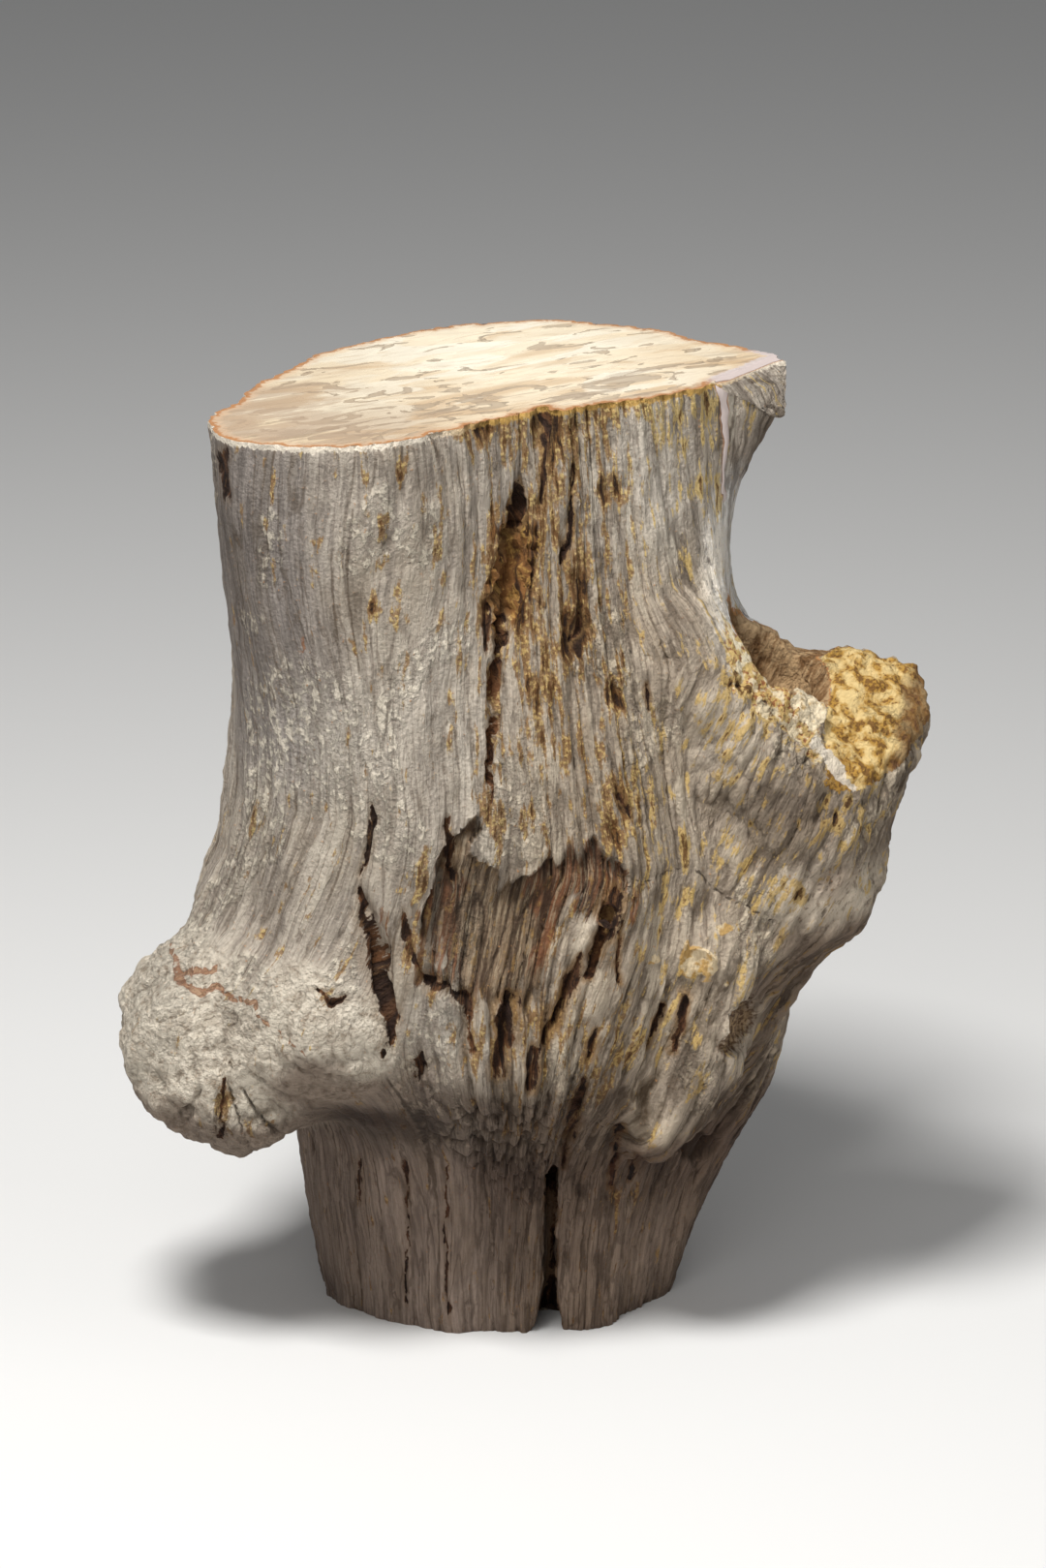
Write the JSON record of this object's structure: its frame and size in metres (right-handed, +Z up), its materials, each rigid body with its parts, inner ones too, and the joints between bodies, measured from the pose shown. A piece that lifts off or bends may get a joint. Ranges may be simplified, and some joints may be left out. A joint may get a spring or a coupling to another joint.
{
  "type": "petrified wood freeform",
  "caption": "Petrified wood stump in one piece, with a flat polished top, weathered bark-like sides, a root burl, a broken branch stub with a hollow and a narrow sawn foot.",
  "frame": {"origin": "middle of the stump's width and depth, on the floor under its sawn base", "axes": "+Z up along the trunk, +X towards the branch stub, -Y towards the face with the burl and the cleft foot"},
  "size_m": [0.411, 0.2644, 0.494],
  "materials": {
    "petrified_wood": "chalky light grey weathered side with ochre, russet and dark brown stains in its clefts; top sawn flat and polished, cream with tan and grey-brown bands"
  },
  "bodies": {
    "root": {"petrified_stump": "petrified_wood"}
  },
  "joints": []
}
